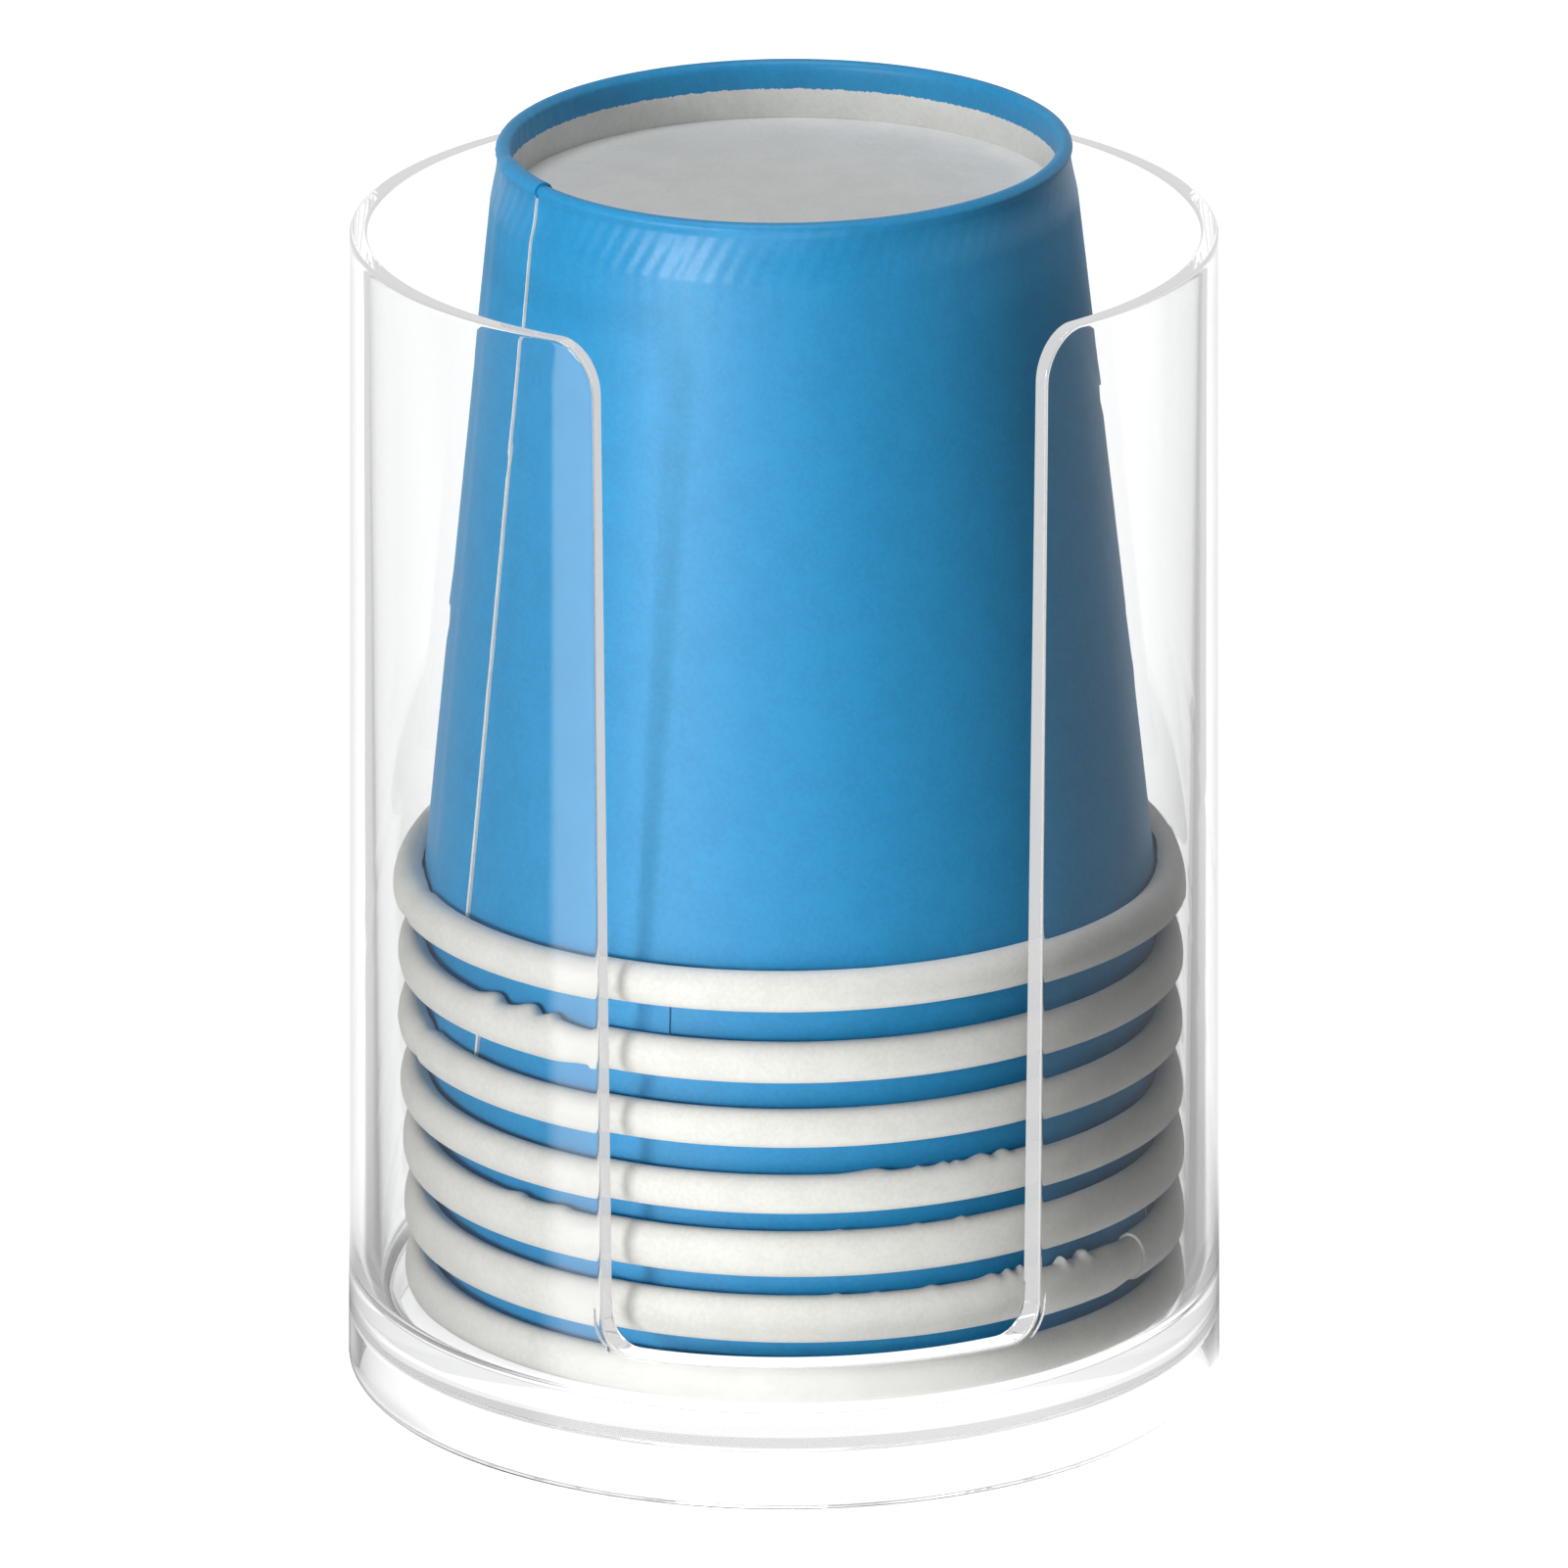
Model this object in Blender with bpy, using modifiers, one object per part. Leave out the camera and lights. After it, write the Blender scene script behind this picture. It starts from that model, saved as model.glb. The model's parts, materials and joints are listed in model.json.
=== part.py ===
"""Clear cup dispenser holding a stack of seven upside-down paper cups.

The dispenser is one moulding: a round wall with a tall front slot, a raised floor
and a hollow foot. Each cup is two paper pieces: a side wall with a rolled rim, a
lap seam and a folded hem, and a base disc whose skirt is caught inside that hem.

Metres, +Z up. The origin is the centre of the foot's resting face, and the slot
faces -Y.
"""
import math

import bmesh
import bpy

# Driving sizes of a cup, which stands rim down
CUP_COUNT = 7
CUP_HEIGHT = 0.0691
CUP_RIM_RADIUS = 0.0350
CUP_BASE_RADIUS = 0.0254
SIDEWALL_PAPER = 0.00025
DISC_PAPER = 0.0003
RIM_CURL_WIDTH = 0.0030
RIM_CURL_HEIGHT = 0.0038
BASE_RECESS = 0.00535
DISC_CORNER_RADIUS = 0.00045
LAP_RISE = 0.00012

# Clearances
SEAT_GAP = 0.0003
HEM_GAP = 0.0003
NEST_GAP = 0.0002

# Driving sizes of the dispenser
BODY_HEIGHT = 0.1052
WELL_CLEARANCE = 0.0014
LIP_WALL = 0.0016
WELL_DRAFT = 0.0001
BODY_FLARE = 0.0010
FOOT_CAVITY_HEIGHT = 0.0053
FOOT_WALL = 0.0019
FLOOR_THICKNESS = 0.0028
FLOOR_FILLET = 0.0016
FOOT_FILLET = 0.0010
FOOT_EDGE_ROUND = 0.0005
SLOT_LIP_HALF_WIDTH = 0.01915
SLOT_SILL_HALF_WIDTH = 0.0183
SLOT_SILL_HEIGHT = 0.0135
SLOT_TOP_ROUND = 0.0049
SLOT_BOTTOM_ROUND = 0.0034
SLOT_EDGE_ROUND = 0.0005
SLOT_RUNOUT_DEGREES = 15
SLOT_EDGE_DEGREES = 65
SLOT_CUT_START = 0.0180
CUT_OVERRUN = 0.0050
MERGE_DISTANCE = 0.000025

# Facet counts
CUP_SEGMENTS = 26
CURL_SEGMENTS = 7
FOLD_SEGMENTS = 4
DISC_CORNER_SEGMENTS = 1
BODY_SEGMENTS = 64
LIP_SEGMENTS = 4
FLOOR_FILLET_SEGMENTS = 3
FOOT_FILLET_SEGMENTS = 2
CORNER_SEGMENTS = 4
EDGE_SEGMENTS = 2

# The rolled rim goes from the wall round to this share of a full turn
CURL_TURN_SHARE = 0.84

# Each cup is turned on the stack by this many facets, lowest first, so seams differ
CUP_TURNS = (3, 23, 9, 6, 14, 17, 14)

# Sizes that follow from the ones above
RIM_CENTRE_HEIGHT = RIM_CURL_HEIGHT / 2
CURL_CENTRE_RADIUS = CUP_RIM_RADIUS - RIM_CURL_WIDTH / 2
CURL_HALF_WIDTH = (RIM_CURL_WIDTH - SIDEWALL_PAPER) / 2
CURL_HALF_HEIGHT = (RIM_CURL_HEIGHT - SIDEWALL_PAPER) / 2
WALL_RIM_RADIUS = CURL_CENTRE_RADIUS - CURL_HALF_WIDTH
HEM_SPACING = SIDEWALL_PAPER + HEM_GAP + DISC_PAPER + HEM_GAP
FOLD_RADIUS = HEM_SPACING / 2
FOLD_HEIGHT = CUP_HEIGHT - FOLD_RADIUS - SIDEWALL_PAPER / 2
WALL_FOLD_RADIUS = CUP_BASE_RADIUS - SIDEWALL_PAPER / 2
WALL_TAPER = (WALL_RIM_RADIUS - WALL_FOLD_RADIUS) / (FOLD_HEIGHT - RIM_CENTRE_HEIGHT)
WALL_SLOPE = math.atan(WALL_TAPER)
DISC_MID_HEIGHT = CUP_HEIGHT - BASE_RECESS - DISC_PAPER / 2
HEM_EDGE_HEIGHT = CUP_HEIGHT - BASE_RECESS + SEAT_GAP

# A cup stands on the base edge of the one below it, unless its wall jams first
SEATED_PITCH = BASE_RECESS + DISC_PAPER + SEAT_GAP
JAMMED_PITCH = (SIDEWALL_PAPER + LAP_RISE + NEST_GAP) / math.sin(WALL_SLOPE)
CUP_PITCH = max(SEATED_PITCH, JAMMED_PITCH)

WELL_LIP_RADIUS = CUP_RIM_RADIUS + WELL_CLEARANCE
WELL_FLOOR_RADIUS = WELL_LIP_RADIUS - WELL_DRAFT
LIP_RADIUS = WELL_LIP_RADIUS + LIP_WALL
FOOT_RADIUS = LIP_RADIUS + BODY_FLARE
FLOOR_HEIGHT = FOOT_CAVITY_HEIGHT + FLOOR_THICKNESS
FIRST_CUP_HEIGHT = FLOOR_HEIGHT + SEAT_GAP


def new_collection(name):
    """Make a collection in the scene."""
    collection = bpy.data.collections.new(name)
    bpy.context.scene.collection.children.link(collection)
    return collection


def make_material(name, colour, roughness, transmission=0.0):
    """Make a plain Principled material."""
    material = bpy.data.materials.new(name)
    material.use_nodes = True
    shader = material.node_tree.nodes["Principled BSDF"]
    shader.inputs["Base Color"].default_value = (*colour, 1.0)
    shader.inputs["Roughness"].default_value = roughness
    shader.inputs["Metallic"].default_value = 0.0
    shader.inputs["Transmission Weight"].default_value = transmission
    return material


def arc(centre, radii, start_degrees, end_degrees, segments):
    """Points (radius, height) of an elliptic arc, both ends included."""
    points = []
    for step in range(segments + 1):
        angle = math.radians(start_degrees + (end_degrees - start_degrees) * step / segments)
        points.append((centre[0] + radii[0] * math.cos(angle), centre[1] + radii[1] * math.sin(angle)))
    return points


def turned(name, profile, segments, collection, closed):
    """Turn a profile of (radius, height) points about Z with a Screw modifier."""
    mesh = bpy.data.meshes.new(name)
    edges = [(index, index + 1) for index in range(len(profile) - 1)]
    if closed:
        edges.append((len(profile) - 1, 0))
    mesh.from_pydata([(radius, 0, height) for radius, height in profile], edges, [])
    piece = bpy.data.objects.new(name, mesh)
    collection.objects.link(piece)
    screw = piece.modifiers.new("turn", "SCREW")
    screw.axis = "Z"
    screw.angle = math.tau
    screw.steps = segments
    screw.render_steps = segments
    screw.use_merge_vertices = True
    screw.merge_threshold = MERGE_DISTANCE
    screw.use_smooth_shade = True
    return piece


def paper_shell(piece, thickness):
    """Give an open turned sheet the thickness of its paper, half to each side."""
    solidify = piece.modifiers.new("paper", "SOLIDIFY")
    solidify.thickness = thickness
    solidify.offset = 0.0
    solidify.use_even_offset = True


def apply_modifiers(piece):
    """Replace the object's mesh by its evaluated one."""
    graph = bpy.context.evaluated_depsgraph_get()
    mesh = bpy.data.meshes.new_from_object(piece.evaluated_get(graph))
    piece.modifiers.clear()
    piece.data = mesh
    mesh.name = piece.name
    return mesh


def wall_radius(height):
    """Middle radius of a cup's cone at a height above its rim."""
    return WALL_RIM_RADIUS - WALL_TAPER * (height - RIM_CENTRE_HEIGHT)


def sidewall_profile():
    """Middle line of the paper blank: hem edge, fold, cone wall, rolled rim."""
    fold_centre = (WALL_FOLD_RADIUS - FOLD_RADIUS, FOLD_HEIGHT)
    hem_radius = wall_radius(HEM_EDGE_HEIGHT) - HEM_SPACING
    fold = arc(fold_centre, (FOLD_RADIUS, FOLD_RADIUS), 180, 0, FOLD_SEGMENTS)
    curl_end = 180 + 360 * CURL_TURN_SHARE
    curl = arc((CURL_CENTRE_RADIUS, RIM_CENTRE_HEIGHT), (CURL_HALF_WIDTH, CURL_HALF_HEIGHT),
               180, curl_end, CURL_SEGMENTS)
    return [(hem_radius, HEM_EDGE_HEIGHT)] + fold + curl


def raise_lap_seam(mesh):
    """Lift one facet column of the cone's outer skin, where the blank overlaps."""
    half_facet = math.pi / CUP_SEGMENTS
    work = bmesh.new()
    work.from_mesh(mesh)
    for vertex in work.verts:
        radius = math.hypot(vertex.co.x, vertex.co.y)
        azimuth = math.atan2(vertex.co.y, vertex.co.x)
        on_seam = -half_facet < azimuth < 3 * half_facet
        on_cone = RIM_CENTRE_HEIGHT - SIDEWALL_PAPER < vertex.co.z < FOLD_HEIGHT + SIDEWALL_PAPER
        near_wall = 0 < radius - wall_radius(vertex.co.z) < SIDEWALL_PAPER
        if on_seam and on_cone and near_wall:
            vertex.co.x *= 1 + LAP_RISE / radius
            vertex.co.y *= 1 + LAP_RISE / radius
    work.to_mesh(mesh)
    work.free()


def disc_profile():
    """Middle line of the base disc: flat to the corner, then up the skirt."""
    skirt_offset = (SIDEWALL_PAPER + DISC_PAPER) / 2 + HEM_GAP
    corner_height = DISC_MID_HEIGHT + DISC_CORNER_RADIUS
    corner_radius = wall_radius(corner_height) - skirt_offset
    corner = arc((corner_radius - DISC_CORNER_RADIUS, corner_height),
                 (DISC_CORNER_RADIUS, DISC_CORNER_RADIUS), 270, 360, DISC_CORNER_SEGMENTS)
    skirt_top = FOLD_HEIGHT
    skirt = (wall_radius(skirt_top) - skirt_offset, skirt_top)
    return [(0, DISC_MID_HEIGHT)] + corner + [skirt]


def make_cup(number, collection, printed_paper, plain_paper):
    """One cup of two paper pieces, standing rim down at its place in the stack."""
    height = FIRST_CUP_HEIGHT + (number - 1) * CUP_PITCH
    holder = bpy.data.objects.new(f"cup_{number}", None)
    holder.location = (0, 0, height)
    turn = CUP_TURNS[(number - 1) % len(CUP_TURNS)]
    holder.rotation_euler = (0, 0, math.tau * turn / CUP_SEGMENTS)
    collection.objects.link(holder)

    sidewall = turned(f"cup_{number}_sidewall", sidewall_profile(), CUP_SEGMENTS, collection, False)
    paper_shell(sidewall, SIDEWALL_PAPER)
    raise_lap_seam(apply_modifiers(sidewall))
    sidewall.data.materials.append(printed_paper)

    disc = turned(f"cup_{number}_base_disc", disc_profile(), CUP_SEGMENTS, collection, False)
    paper_shell(disc, DISC_PAPER)
    disc.data.materials.append(plain_paper)

    for piece in (sidewall, disc):
        piece.parent = holder
    return holder


def body_profile():
    """Section of the dispenser: floor, well, rounded lip, outside, hollow foot."""
    lip_round = LIP_WALL / 2
    lip_height = BODY_HEIGHT - lip_round
    well = arc((WELL_FLOOR_RADIUS - FLOOR_FILLET, FLOOR_HEIGHT + FLOOR_FILLET),
               (FLOOR_FILLET, FLOOR_FILLET), 270, 360, FLOOR_FILLET_SEGMENTS)
    lip = arc((WELL_LIP_RADIUS + lip_round, lip_height), (lip_round, lip_round), 180, 0, LIP_SEGMENTS)
    foot_inside = FOOT_RADIUS - FOOT_WALL
    foot = [
        (FOOT_RADIUS, FOOT_EDGE_ROUND),
        (FOOT_RADIUS - FOOT_EDGE_ROUND, 0),
        (foot_inside + FOOT_EDGE_ROUND, 0),
        (foot_inside, FOOT_EDGE_ROUND),
    ]
    under = arc((foot_inside - FOOT_FILLET, FOOT_CAVITY_HEIGHT - FOOT_FILLET),
                (FOOT_FILLET, FOOT_FILLET), 0, 90, FOOT_FILLET_SEGMENTS)
    return [(0, FLOOR_HEIGHT)] + well + lip + foot + under + [(0, FOOT_CAVITY_HEIGHT)]


def slot_outline():
    """Front view of the slot: sill, rounded lower corners, leaning sides, flared top.

    Its widths are those in the upright plane through the slot's two lip corners.
    """
    rise = SLOT_TOP_ROUND * math.cos(math.radians(SLOT_RUNOUT_DEGREES))
    low = (SLOT_SILL_HALF_WIDTH - SLOT_BOTTOM_ROUND, SLOT_SILL_HEIGHT + SLOT_BOTTOM_ROUND)
    high = (SLOT_LIP_HALF_WIDTH + SLOT_TOP_ROUND, BODY_HEIGHT - rise)
    right = arc(low, (SLOT_BOTTOM_ROUND, SLOT_BOTTOM_ROUND), 270, 360, CORNER_SEGMENTS)
    runout = 90 + SLOT_RUNOUT_DEGREES
    right += arc(high, (SLOT_TOP_ROUND, SLOT_TOP_ROUND), 180, runout, CORNER_SEGMENTS)
    right.append((right[-1][0], BODY_HEIGHT + CUT_OVERRUN))
    left = [(-x, height) for x, height in reversed(right)]
    return right + left


def make_slot_cutter(collection):
    """A wedge through the front wall, whose side faces run to the dispenser's axis."""
    outline = slot_outline()
    chord_depth = math.sqrt(LIP_RADIUS ** 2 - SLOT_LIP_HALF_WIDTH ** 2)
    far = FOOT_RADIUS + CUT_OVERRUN
    count = len(outline)
    work = bmesh.new()
    rings = []
    for depth in (SLOT_CUT_START, far):
        spread = depth / chord_depth
        rings.append([work.verts.new((x * spread, -depth, height)) for x, height in outline])
    work.faces.new(rings[0])
    work.faces.new(rings[1])
    for index in range(count):
        after = (index + 1) % count
        work.faces.new((rings[0][index], rings[0][after], rings[1][after], rings[1][index]))
    bmesh.ops.recalc_face_normals(work, faces=work.faces)
    mesh = bpy.data.meshes.new("slot_cutter")
    work.to_mesh(mesh)
    work.free()
    cutter = bpy.data.objects.new("slot_cutter", mesh)
    cutter.hide_render = True
    cutter.display_type = "WIRE"
    collection.objects.link(cutter)
    return cutter


def make_body(collection, cutters, clear_plastic):
    """The clear dispenser, turned, slotted and eased along the slot's edges."""
    body = turned("dispenser_body", body_profile(), BODY_SEGMENTS, collection, False)
    slot = body.modifiers.new("slot", "BOOLEAN")
    slot.operation = "DIFFERENCE"
    slot.object = make_slot_cutter(cutters)
    slot.solver = "EXACT"
    easing = body.modifiers.new("eased_slot_edges", "BEVEL")
    easing.width = SLOT_EDGE_ROUND
    easing.segments = EDGE_SEGMENTS
    easing.limit_method = "ANGLE"
    easing.angle_limit = math.radians(SLOT_EDGE_DEGREES)
    body.data.materials.append(clear_plastic)
    return body


def build():
    """Clear the scene and build the dispenser with its stack of cups."""
    for old in list(bpy.data.objects):
        bpy.data.objects.remove(old, do_unlink=True)
    parts = new_collection("cup_dispenser")
    cutters = new_collection("cutters")
    clear_plastic = make_material("clear_plastic", (0.93, 0.95, 0.95), 0.05, 1.0)
    printed_paper = make_material("blue_printed_paper", (0.07, 0.30, 0.62), 0.5)
    plain_paper = make_material("plain_paper", (0.80, 0.79, 0.75), 0.7)
    make_body(parts, cutters, clear_plastic)
    for number in range(1, CUP_COUNT + 1):
        make_cup(number, parts, printed_paper, plain_paper)


build()
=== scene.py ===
"""Clear cup dispenser with a nested stack of upside-down paper cups.

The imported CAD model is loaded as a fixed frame. Each operator works out one kind of
piece on numpy grids, in metres, and lets it ride on its CAD body.
"""
import json
import math

import bpy
import numpy as np
from bpy.props import FloatProperty, FloatVectorProperty, IntProperty, PointerProperty
from mathutils import Matrix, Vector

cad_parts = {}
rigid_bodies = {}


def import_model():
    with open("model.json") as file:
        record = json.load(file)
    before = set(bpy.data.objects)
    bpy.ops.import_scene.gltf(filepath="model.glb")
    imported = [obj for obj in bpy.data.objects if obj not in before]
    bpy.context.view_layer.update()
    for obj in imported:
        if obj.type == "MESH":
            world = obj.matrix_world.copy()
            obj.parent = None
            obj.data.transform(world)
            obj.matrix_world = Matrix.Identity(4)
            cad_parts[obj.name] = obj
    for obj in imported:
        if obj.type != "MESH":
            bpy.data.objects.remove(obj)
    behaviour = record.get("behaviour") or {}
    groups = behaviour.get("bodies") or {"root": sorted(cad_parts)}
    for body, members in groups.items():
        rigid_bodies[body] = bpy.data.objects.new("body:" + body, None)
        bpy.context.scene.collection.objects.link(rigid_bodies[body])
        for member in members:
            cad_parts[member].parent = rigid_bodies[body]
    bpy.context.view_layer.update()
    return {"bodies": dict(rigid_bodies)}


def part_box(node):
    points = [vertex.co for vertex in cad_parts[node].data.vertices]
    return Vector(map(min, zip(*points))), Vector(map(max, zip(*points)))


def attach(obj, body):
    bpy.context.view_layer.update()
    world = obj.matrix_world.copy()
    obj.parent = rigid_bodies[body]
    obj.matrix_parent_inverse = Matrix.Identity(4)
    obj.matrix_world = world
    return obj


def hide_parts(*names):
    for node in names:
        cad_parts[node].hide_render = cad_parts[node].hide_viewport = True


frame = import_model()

bl_info = {
    "name": "Cup dispenser",
    "version": (1, 0, 0),
    "blender": (4, 5, 0),
    "location": "3D View > Sidebar > Cup dispenser",
    "description": "Clear moulded dispenser with a nested stack of rolled-rim paper cups",
    "category": "Object",
}

MM = 0.001
SHARP_EDGE = math.radians(50.0)
DISPENSER_BODY = "dispenser"
DISPENSER_NODE = "dispenser_body"
CUP_BODIES = sorted(name for name in frame["bodies"] if name != DISPENSER_BODY)

# Rows and columns of the grids
HEM_ROWS = 8
FOLD_ROWS = 9
NECK_ROWS = 13
CONE_ROWS = 8
CURL_ROWS = 26
CUP_COLUMNS = 620
DISC_ROWS = 14
DISC_COLUMNS = 200
EDGE_ROWS = 9
WALL_ROWS = 36
FLOOR_ROWS = 10
FILLET_ROWS = 8
FOOT_ROWS = 8
FOOT_ROUND_ROWS = 6

# Points along the slot's sill, low corner, side and shoulder, and along the lip
SILL_POINTS, CORNER_POINTS, SIDE_POINTS, SHOULDER_POINTS = 18, 16, 66, 20
LIP_POINTS = 90

# Distance inside the print's edge, in mm, at which paper is surely printed or bare
PRINTED, BARE = 3.0, -3.0

# For the cups from the lowest up: seam, height of the roll, how it stands in the stack
SEAM_DEGREES = (55.4, 334.0, 138.5, 97.0, 208.6, 245.6, 206.6)
CURL_SHARES = (1.06, 1.14, 1.10, 0.93, 0.92, 0.99, 0.97)
SETTLE_MM = (-0.28, -0.60, -0.40, -0.45, -0.24, -0.22, 0.48)
ASIDE_MM = (1.00, 0.95, 0.90, 0.72, 0.60, 0.62, 0.52)
TILT_DEGREES = (0.0, -0.1, 0.0, 0.0, 0.1, 0.25, 0.45)
SPREAD_MM = (0.0, 0.0, 0.0, 0.0, 0.0, 0.0, 0.3)
BARE_EDGE_SHARES = (0.5, 0.6, 0.7, 0.5, 0.85, 0.0, 0.85)
KNURL_DEGREES = (40.0, 110.0, 300.0, 200.0, 20.0, 260.0, 170.0)

# Torn teeth at a roll's end, by cup: degrees right of the front, width, share of height
TORN_ENDS = {
    2: ((1.0, 1.6, 0.20), (7.1, 1.6, 0.15), (15.8, 2.4, 0.25), (25.8, 3.4, 0.30),
        (28.8, 1.8, 0.45), (31.0, 1.6, 0.50), (37.7, 1.6, 0.70), (42.2, 2.2, 0.75)),
    3: ((-49.9, 4.4, 0.35), (-41.5, 4.7, 0.30), (1.6, 1.6, 0.15), (13.4, 1.6, 0.20),
        (20.7, 1.8, 0.25)),
    4: ((7.3, 7.0, 0.40), (14.0, 1.6, 0.28), (18.1, 2.0, 0.32), (20.2, 1.5, 0.30),
        (24.5, 4.2, 0.50), (28.3, 3.0, 0.50)),
    6: ((-54.7, 5.9, 0.85), (-47.0, 5.8, 0.95), (-42.8, 3.4, 0.60)),
}

# Small torn teeth round the back of a roll: count, widths in degrees, shares of height
BACK_TEETH = 14
BACK_WIDTHS = (1.5, 6.0)
BACK_SHARES = (0.2, 0.7)

# A tooth's climb is eased to this power, and its fall takes this share of its width
TOOTH_POWER = 1.4
TOOTH_FALL = 0.33

# Waves round a roll's end, and the share of the roll from which its torn end stands up
WANDER_WAVES = (3, 7, 16, 37, 71)
TORN_START = 0.6875

# Least depth of the knurl away from its middle, and how much it flickers in five waves
KNURL_LEAST = 0.12
KNURL_FLICKER = 0.2
KNURL_WAVES = 5.0

# Share of a seam's bare edge that it has at the fold, and inset across its column, in mm
BARE_AT_FOLD = 0.45
BARE_SLOPE = 7.0

# Ripple and sag of a base disc
RIPPLE_MM = 0.35
SAG_MM = 0.12

# Noises: waves to the metre, detail, roughness
PRINT_CLOUD = (320.0, 3.0, 0.6)
PRINT_GRAIN = (2400.0, 2.0, 0.6)
PRINT_SPECKLE = (2600.0, 3.0, 0.7)
BOARD_CLOUD = (240.0, 3.0, 0.6)
BOARD_GRAIN = (2200.0, 2.0, 0.6)
PLASTIC_WAVE = (45.0, 2.0, 0.5)

# Share of the grain in a mottle of cloud and grain, and values from which it is spread
PRINT_GRAIN_SHARE, BOARD_GRAIN_SHARE = 0.55, 0.5
PRINT_SPREAD, BOARD_SPREAD = (0.36, 0.62), (0.36, 0.64)

# Depth of the print's ragged edge and half its blur, in mm
RAGGED_DEPTH = 0.5
RAGGED_BLUR = 0.02

# Bumps: height in metres, and how much of it shows on print, board and plastic
PAPER_BUMP, PLASTIC_BUMP = 0.00006, 0.0002
PRINT_RELIEF, BOARD_RELIEF, PLASTIC_RELIEF = 0.10, 0.12, 0.06
PAPER_REFRACTION = 1.45

# Light let through by the wall: values at which it falls, and its shares before and after
ASLANT_SHADE = (0.45, 0.95, 0.96, 0.35)
EDGE_SHADE = (0.0, 1.0, 1.0, 0.45)

# A ray's turns: more than none, more than three walls' faces, and trapped in the wall
SOME_TURN = 0.5
THREE_TURNS = 3.5
TRAPPED_AFTER = 7.5

# Straight lines on the floor from above: a point, the way it runs, half its blur
MIRRORED_LEFT = ((-0.0231, -0.0307), (0.932, 0.362), 0.006)
MIRRORED_RIGHT = ((0.040, 0.0), (0.0, 1.0), 0.010)
THROUGH_LEFT = ((-0.0385, -0.0014), (-0.344, 0.939), 0.003)
THROUGH_RIGHT = ((0.0373, -0.0090), (0.460, 0.888), 0.003)

# Forward share of a direction at which the room in front turns into the room behind
MIRRORED_TURN = (0.35, 0.70)
THROUGH_TURN = (-0.55, 0.10)

# Sideways share at which the room's sides start and are full
BESIDE_TURN = (0.60, 0.95)

# The way to the pale card, and the cosines from it at which it starts and is full
CARD_AIM = (0.904, -0.159, 0.40)
CARD_TURN = (0.55, 0.90)


def length(name, default, description):
    """A length property in metres."""
    return FloatProperty(name=name, default=default, description=description,
                         unit="LENGTH", subtype="DISTANCE", precision=5)


def share(name, default, description):
    """A plain number between nought and a few."""
    return FloatProperty(name=name, default=default, description=description, min=0.0)


def angle(name, degrees, description):
    """An angle property, given in degrees."""
    return FloatProperty(name=name, default=math.radians(degrees), description=description,
                         unit="ROTATION", subtype="ANGLE")


def colour(name, default, description):
    """A linear colour property."""
    return FloatVectorProperty(name=name, default=default, description=description,
                               subtype="COLOR", size=3, min=0.0, max=1.0)


class CupSettings(bpy.types.PropertyGroup):
    """Sizes and finishes of one paper cup."""

    height: length("Height", 0.0686, "From the rolled rim to the folded base edge")
    rim_radius: length("Rim radius", 0.0350, "Outside of the rolled rim")
    base_radius: length("Base radius", 0.0252, "Outside of the folded base edge")
    paper: length("Side paper", 0.00025, "Thickness of the side wall's coated paper")
    disc_paper: length("Disc paper", 0.0003, "Thickness of the base disc's paper")
    curl_width: length("Curl width", 0.0027, "Width of the rolled rim")
    curl_height: length("Curl height", 0.0038, "Height of the rolled rim")
    curl_turn: share("Curl turn", 0.885, "How much of a full turn the rim is rolled")
    curl_wander: share("Curl wander", 0.026, "How much the end of the roll wanders, in turns")
    torn_height: length("Torn height", 0.0010, "Most that the roll's torn end stands up")
    recess: length("Recess", 0.00535, "Depth of the base disc under the folded edge")
    seam_gap: length("Layer gap", 0.0003, "Gap between the layers of the sealed base edge")
    disc_corner: length("Disc corner", 0.00045, "Radius between the disc and its skirt")
    lap_width: length("Lap width", 0.0062, "Overlap of the blank at its side seam")
    lap_gap: length("Lap gap", 0.00002, "Glue line between the overlapping layers")
    lap_ramp: length("Lap ramp", 0.0032, "Length over which the outer layer steps up")
    crimp_count: IntProperty(name="Crimps", default=98, min=12,
                             description="Knurl marks round the sealed base edge")
    crimp_depth: length("Crimp depth", 0.00010, "Depth of a knurl mark")
    crimp_band: length("Crimp band", 0.0054, "Height of the knurled band on the side wall")
    crimp_fade: length("Crimp fade", 0.0004, "Height over which the knurl ends at its foot")
    crimp_start: length("Crimp start", 0.0012, "Height over which the knurl starts under the fold")
    crimp_lean: length("Crimp lean", 0.0005, "Height in which a mark leans by one radian of wave")
    crimp_neck: length("Crimp neck", 0.00025, "How far the knurled band is pressed in at the top")
    bare_start: length("Bare edge start", 0.0009, "Depth where the bare edge starts")
    bare_run: length("Bare edge run", 0.030, "Depth at which the seam's bare edge is widest")
    print_stop: length("Print stop", 0.0026, "Depth in the recess at which the print ends")
    print_colour: colour("Print", (0.022, 0.300, 0.605), "Printed side of the cup")
    print_shade: colour("Print shade", (0.019, 0.268, 0.552), "Darker mottle of the print")
    paper_colour: colour("Paper", (0.83, 0.825, 0.785), "Bare coated paper")
    paper_shade: colour("Paper shade", (0.77, 0.765, 0.725), "Darker mottle of the paper")
    disc_colour: colour("Disc", (0.79, 0.80, 0.79), "Base disc's paper")
    disc_shade: share("Disc shade", 0.93, "Darker mottle of the disc, as a share of its colour")
    print_roughness: share("Print roughness", 0.48, "Of the printed side")
    paper_roughness: share("Paper roughness", 0.60, "Of bare paper")
    pressed_gloss: share("Pressed gloss", 0.08, "How much smoother the knurled band is")


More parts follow.
